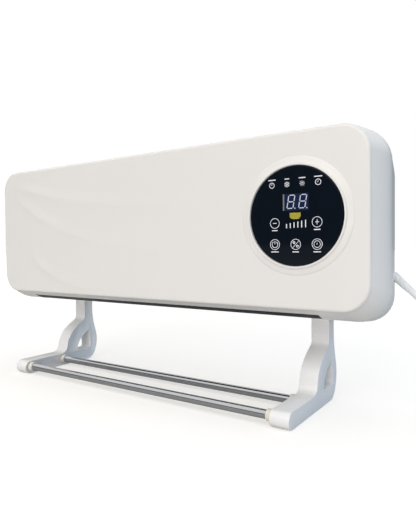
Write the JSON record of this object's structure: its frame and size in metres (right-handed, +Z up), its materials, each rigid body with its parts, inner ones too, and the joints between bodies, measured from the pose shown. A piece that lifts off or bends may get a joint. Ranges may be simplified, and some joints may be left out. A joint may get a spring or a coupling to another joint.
{
  "type": "bathroom wall fan heater",
  "caption": "Wide white bathroom fan heater with a round touch panel, a swinging air flap underneath and chrome towel rails held between bracket feet.",
  "frame": {"origin": "on the surface that the feet stand on, under the middle of the heater's width and depth, measured without the cord", "axes": "+X along the front to the viewer's right, +Y back to the wall, +Z up"},
  "size_m": [0.7378, 0.1823, 0.278],
  "materials": {
    "gloss_white": "glossy warm white moulding",
    "panel_glass": "glossy dark navy glass, opaque",
    "display": "dark blue display window",
    "board_green": "green circuit board",
    "grey_plastic": "grey moulding",
    "black_plastic": "satin black moulding",
    "steel": "plain bright steel",
    "chrome": "polished chrome tube",
    "aluminium_fin": "thin bright aluminium strip",
    "heater_ceramic": "matt ceramic bar in its sleeve",
    "heatproof_brown": "brown heatproof moulding",
    "black_rubber": "matt rubber",
    "relay_blue": "blue component case",
    "capacitor_yellow": "yellow component case",
    "terminal_ivory": "ivory component case",
    "cream_plastic": "glossy cream moulding",
    "cord_white": "satin white flexible sheath"
  },
  "bodies": {
    "housing": {"front_cover": "gloss_white", "rear_housing": "gloss_white", "intake_grille": "gloss_white", "dust_filter": "grey_plastic", "bezel_ring": "gloss_white", "panel_lens": "panel_glass", "display_module": "display", "control_board": "board_green", "bearing_bush": "black_rubber", "blower_motor": "steel", "motor_mount": "grey_plastic", "duct_end_left": "grey_plastic", "duct_end_right": "grey_plastic", "front_guide": "grey_plastic", "rear_guide": "grey_plastic", "ceramic_bar_front": "heater_ceramic", "ceramic_bar_rear": "heater_ceramic", "cooling_fins_front": "aluminium_fin", "cooling_fins_middle": "aluminium_fin", "cooling_fins_rear": "aluminium_fin", "heater_plate_front": "aluminium_fin", "heater_plate_rear": "aluminium_fin", "heater_cap_left": "heatproof_brown", "heater_cap_right": "heatproof_brown", "thermal_cutout": "heatproof_brown", "outlet_grille": "black_plastic", "louvre_motor": "steel", "power_board": "board_green", "relay_front": "relay_blue", "relay_rear": "relay_blue", "filter_capacitor": "capacitor_yellow", "terminal_block": "terminal_ivory", "bracket_left": "gloss_white", "bracket_right": "gloss_white", "front_rail": "chrome", "rear_rail": "chrome", "collar_front_left": "cream_plastic", "collar_front_right": "cream_plastic", "collar_rear_left": "cream_plastic", "collar_rear_right": "cream_plastic", "bracket_screw_left": "steel", "bracket_screw_right": "steel", "housing_screw_low_right": "steel", "housing_screw_high_right": "steel", "housing_screw_low_left": "steel", "housing_screw_high_left": "steel", "strain_relief": "cord_white", "power_cord": "cord_white", "cord_coil": "cord_white", "plug_lead": "cord_white", "plug_body": "cord_white", "plug_pin_left": "steel", "plug_pin_right": "steel"},
    "blower": {"blower_wheel": "grey_plastic", "motor_shaft": "steel", "bearing_shaft": "steel"},
    "louvre": {"outlet_louvre": "black_plastic", "louvre_pin_left": "steel", "louvre_pin_right": "steel"}
  },
  "joints": [
    {"name": "blower_spin", "type": "hinge", "parent": "housing", "child": "blower", "pos_m": [0, 0.0215, 0.2075], "axis": [1, 0, 0], "continuous": true},
    {"name": "louvre_tilt", "type": "hinge", "parent": "housing", "child": "louvre", "pos_m": [0, 0.0205, 0.09849], "axis": [1, 0, 0], "range_deg": [0, 75]}
  ]
}
